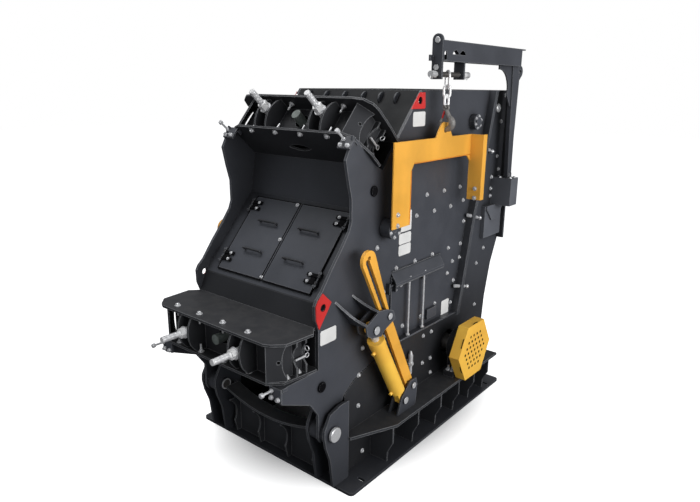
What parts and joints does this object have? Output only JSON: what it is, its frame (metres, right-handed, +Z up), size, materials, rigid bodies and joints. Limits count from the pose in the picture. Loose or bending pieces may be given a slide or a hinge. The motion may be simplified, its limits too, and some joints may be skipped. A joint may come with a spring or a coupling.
{
  "type": "horizontal shaft impact crusher",
  "caption": "Stationary impact crusher: rotor between two bearings, hinged front housing opened by side cylinders, cross beams with apron rods, inspection doors and a service jib.",
  "frame": {"origin": "floor level, centre of the four anchor slots of the base plate", "axes": "+X along the rotor axis towards the side with the service jib, +Y towards the feed opening, +Z up"},
  "size_m": [2.092, 3.6799, 3.6499],
  "materials": {
    "dark_paint": "satin dark slate paint",
    "yellow_paint": "satin yellow paint",
    "zinc": "bright zinc plate",
    "bare_steel": "worn bare steel",
    "cast": "cast iron"
  },
  "bodies": {
    "frame": {"base_plate": "dark_paint", "base_front": "dark_paint", "base_rear": "dark_paint", "shelf_r": "dark_paint", "shelf_l": "dark_paint", "ears_r": "dark_paint", "ears_l": "dark_paint", "fixed_side_r": "dark_paint", "fixed_side_l": "dark_paint", "feed_box": "dark_paint", "bearing_r": "dark_paint", "bearing_l": "dark_paint", "shaft_guard": "yellow_paint", "ram_foot_r": "dark_paint", "ram_foot_l": "dark_paint", "jib_socket": "dark_paint"},
    "swing": {"swing_side_r": "dark_paint", "swing_side_l": "dark_paint", "door_frame": "dark_paint", "upper_beam": "dark_paint", "lower_beam": "dark_paint", "roof": "dark_paint", "apron_upper": "bare_steel", "apron_lower": "bare_steel", "rods_upper": "zinc", "rods_lower": "zinc", "arm_bracket_r": "dark_paint", "arm_bracket_l": "dark_paint"},
    "rotor_unit": {"rotor": "bare_steel", "blow_bars": "cast"},
    "hatch_r": {"door_r": "dark_paint"},
    "hatch_l": {"door_l": "dark_paint"},
    "ram_barrel_r": {"barrel_r": "yellow_paint"},
    "ram_barrel_l": {"barrel_l": "yellow_paint"},
    "ram_rod_r": {"piston_r": "zinc"},
    "ram_rod_l": {"piston_l": "zinc"},
    "safety_strut_r": {"strut_r": "yellow_paint"},
    "safety_strut_l": {"strut_l": "yellow_paint"},
    "jib_arm": {"jib": "dark_paint", "chain_hook": "zinc", "lift_beam": "yellow_paint"}
  },
  "joints": [
    {"name": "swing_open", "type": "hinge", "parent": "frame", "child": "swing", "pos_m": [0, -1.363, 0.533], "axis": [1, 0, 0], "range_deg": [0, 40]},
    {"name": "ram_tilt_r", "type": "hinge", "parent": "frame", "child": "ram_barrel_r", "pos_m": [0.85, -0.517, 0.518], "axis": [1, 0, 0], "range_deg": [0, 22]},
    {"name": "ram_stroke_r", "type": "slide", "parent": "ram_barrel_r", "child": "ram_rod_r", "axis": [0, -0.4925, 0.8703], "range_m": [0, 0.46]},
    {"name": "strut_tilt_r", "type": "hinge", "parent": "frame", "child": "safety_strut_r", "pos_m": [0.85, -0.394, 0.616], "axis": [1, 0, 0], "range_deg": [0, 23]},
    {"name": "ram_tilt_l", "type": "hinge", "parent": "frame", "child": "ram_barrel_l", "pos_m": [-0.85, -0.517, 0.518], "axis": [1, 0, 0], "range_deg": [0, 22]},
    {"name": "ram_stroke_l", "type": "slide", "parent": "ram_barrel_l", "child": "ram_rod_l", "axis": [0, -0.4925, 0.8703], "range_m": [0, 0.46]},
    {"name": "strut_tilt_l", "type": "hinge", "parent": "frame", "child": "safety_strut_l", "pos_m": [-0.85, -0.394, 0.616], "axis": [1, 0, 0], "range_deg": [0, 23]},
    {"name": "door_r_open", "type": "hinge", "parent": "swing", "child": "hatch_r", "pos_m": [0.565, -1.30438, 1.76956], "axis": [0, 0.6626, 0.749], "range_deg": [0, 105]},
    {"name": "door_l_open", "type": "hinge", "parent": "swing", "child": "hatch_l", "pos_m": [-0.565, -1.30438, 1.76956], "axis": [0, -0.6626, -0.749], "range_deg": [0, 105]},
    {"name": "rotor_spin", "type": "hinge", "parent": "frame", "child": "rotor_unit", "pos_m": [0, 0.522, 0.685], "axis": [1, 0, 0], "continuous": true},
    {"name": "jib_swivel", "type": "hinge", "parent": "frame", "child": "jib_arm", "pos_m": [0.85, 1.372, 2.07], "axis": [0, 0, 1], "range_deg": [0, 180]}
  ],
  "couplings": [
    {"joint": "ram_tilt_r", "follows": "swing_open", "ratio": 0.53116},
    {"joint": "ram_stroke_r", "follows": "swing_open", "m_per_rad": 0.65004},
    {"joint": "strut_tilt_r", "follows": "swing_open", "ratio": 0.55686},
    {"joint": "ram_tilt_l", "follows": "swing_open", "ratio": 0.53116},
    {"joint": "ram_stroke_l", "follows": "swing_open", "m_per_rad": 0.65004},
    {"joint": "strut_tilt_l", "follows": "swing_open", "ratio": 0.55686}
  ]
}
